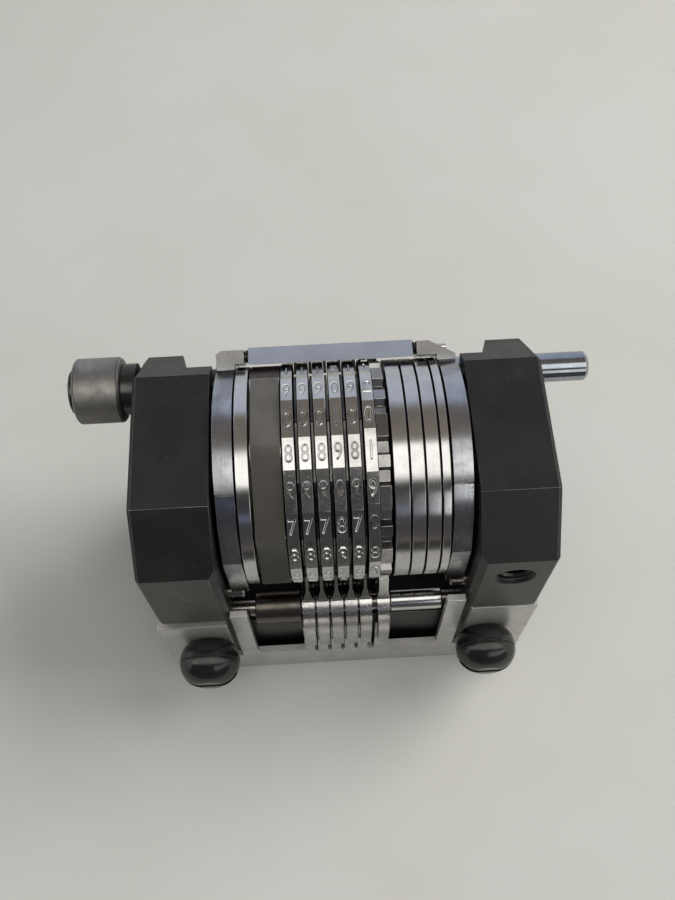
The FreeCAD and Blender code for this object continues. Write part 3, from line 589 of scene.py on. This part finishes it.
# What the metal mirrors: a tent about the axle, by the angle from straight up, positive to the rear
tent = dict(radius=0.22, half=0.5, steps=90, ends=(-105, 96), panels=(
    (-105, (0.20, 0.19, 0.18)), (-98, (0.10, 0.09, 0.09)), (-75, (0.06, 0.06, 0.07)),
    (-68, (0.17, 0.19, 0.27)), (-61, (0.06, 0.06, 0.07)), (-40, (0.045, 0.043, 0.042)),
    (-34, (1.8, 1.78, 1.7)),
    (-6, (1.8, 1.78, 1.7)), (0, (0.26, 0.23, 0.20)), (33, (0.22, 0.195, 0.17)),
    (42, (0.55, 0.60, 0.72)), (75, (0.66, 0.70, 0.80)), (96, (0.60, 0.62, 0.66))),
    window=dict(start=0.0412, end=0.0432, low=-76, high=-50, soft=4, tint=(1.35, 1.35, 1.32)))


# A dark card on the table in front, which the undersides mirror
frontCard = dict(near=-0.114, far=-0.62, half=0.5, height=0.5, tint=(0.055, 0.052, 0.050), dim=0.8)


def onlyMirrored(piece):
    piece.visible_camera = False
    piece.visible_diffuse = False
    piece.visible_shadow = False
    piece.visible_transmission = False


def darkCard():
    material, g = newLook("frontCard")
    tone = g.noise(g.place(), 9.0, 2.0, 0.5)
    dimmed = tuple(frontCard["dim"] * c for c in frontCard["tint"])
    tint = g.mix(tone, frontCard["tint"] + (1,), dimmed + (1,))
    g.finish(g.node("ShaderNodeEmission", None, {"Color": tint}))
    looks["frontCard"] = material
    grid = bmesh.new()
    half, near, far = frontCard["half"], frontCard["near"], frontCard["far"]
    place = Matrix.Translation((0, (near + far) / 2, frontCard["height"] * mm))
    bmesh.ops.create_grid(grid, x_segments=1, y_segments=1, size=1.0,
                          matrix=place @ Matrix.Diagonal((half, (near - far) / 2, 1, 1)))
    onlyMirrored(objectFrom(grid, "frontCard", ["frontCard"]))


def studioTent():
    material, g = newLook("studioTent")
    split = g.node("ShaderNodeSeparateXYZ", None, {0: g.place()})
    across, back, up = [Value(g, output) for output in split.socket.node.outputs]
    turned = g.node("ShaderNodeMath", {"operation": "ARCTAN2"}, {0: back, 1: up - axleHeight})
    angle = turned * (180 / math.pi)
    low, high = tent["panels"][0][0], tent["panels"][-1][0]
    stops = [((place - low) / (high - low), tint) for place, tint in tent["panels"]]
    around = g.node("ShaderNodeValToRGB", {"stops": stops}, {0: (angle - low) * (1 / (high - low))})
    w = tent["window"]
    mask = across.band(w["start"], w["end"]) * angle.band(w["low"], w["low"] + w["soft"]) \
        * (1 - angle.band(w["high"] - w["soft"], w["high"]))
    g.finish(g.node("ShaderNodeEmission", None, {"Color": g.mix(mask, around, w["tint"] + (1,))}))
    looks["studioTent"] = material
    grid = bmesh.new()
    ends = [grid.verts.new((x, 0, axleHeight + tent["radius"])) for x in (-tent["half"], tent["half"])]
    edge = grid.edges.new(ends)
    first, last = [math.radians(-angle) for angle in tent["ends"]]
    bmesh.ops.rotate(grid, verts=ends, cent=(0, 0, axleHeight), matrix=Matrix.Rotation(first, 3, "X"))
    bmesh.ops.spin(grid, geom=ends + [edge], cent=(0, 0, axleHeight), axis=(1, 0, 0),
                   angle=last - first, steps=tent["steps"], use_duplicate=False)
    onlyMirrored(objectFrom(grid, "studioTent", ["studioTent"]))


# A pale backdrop for the camera and for metal, and a plain soft light for the rest
room = dict(backdrop=(0.80, 0.80, 0.78), light=(0.235, 0.24, 0.25))


def paleRoom():
    world = bpy.data.worlds.new("room")
    bpy.context.scene.world = world
    world.use_nodes = True
    g = Graph(world.node_tree)
    rays = g.node("ShaderNodeLightPath").socket.node.outputs
    seen = Value(g, rays["Is Camera Ray"]) + Value(g, rays["Is Glossy Ray"]) \
        + Value(g, rays["Is Transmission Ray"])
    colour = g.mix(seen, room["light"] + (1,), room["backdrop"] + (1,))
    g.finish(g.node("ShaderNodeBackground", None, {"Color": colour}), "ShaderNodeOutputWorld")


lamps = {
    "softboxRight": dict(place=(0.90, 0.30, 1.04), aim=(0, 0, 0.04), size=0.90, power=15.5,
                         tint=(1.0, 0.99, 0.96)),
    "softboxTop": dict(place=(0.00, -0.40, 1.56), aim=(0, 0, 0.04), size=1.20, power=7.2,
                       tint=(1.0, 0.98, 0.95)),
}


def placeLamps():
    for name, look in lamps.items():
        data = bpy.data.lights.new(name, "AREA")
        data.size = look["size"]
        data.energy = look["power"]
        data.color = look["tint"]
        lamp = bpy.data.objects.new(name, data)
        lamp.location = look["place"]
        lamp.rotation_euler = (Vector(look["aim"]) - lamp.location).to_track_quat("-Z", "Y").to_euler()
        lamp.visible_glossy = False
        bpy.context.collection.objects.link(lamp)


photoView = dict(place=(-3.46, -86.08, 238.40), right=(0.99847, -0.05411, -0.01099),
                 down=(-0.05332, -0.89327, -0.44637), forward=(0.01434, 0.44627, -0.8948), lens=38.85)


def placeCamera():
    data = bpy.data.cameras.new("photoCamera")
    data.lens = photoView["lens"]
    data.clip_start = 0.01
    camera = bpy.data.objects.new("photoCamera", data)
    axes = (Vector(photoView["right"]), -Vector(photoView["down"]), -Vector(photoView["forward"]))
    camera.matrix_world = Matrix.Translation(Vector(photoView["place"]) * mm) @ \
        Matrix(axes).transposed().to_4x4()
    bpy.context.collection.objects.link(camera)
    bpy.context.scene.camera = camera


paleFloor()
studioTent()
darkCard()
paleRoom()
placeLamps()
placeCamera()
bpy.context.scene.view_settings.view_transform = "Standard"
print("stage, lamps and camera ready")

bpy.context.view_layer.update()
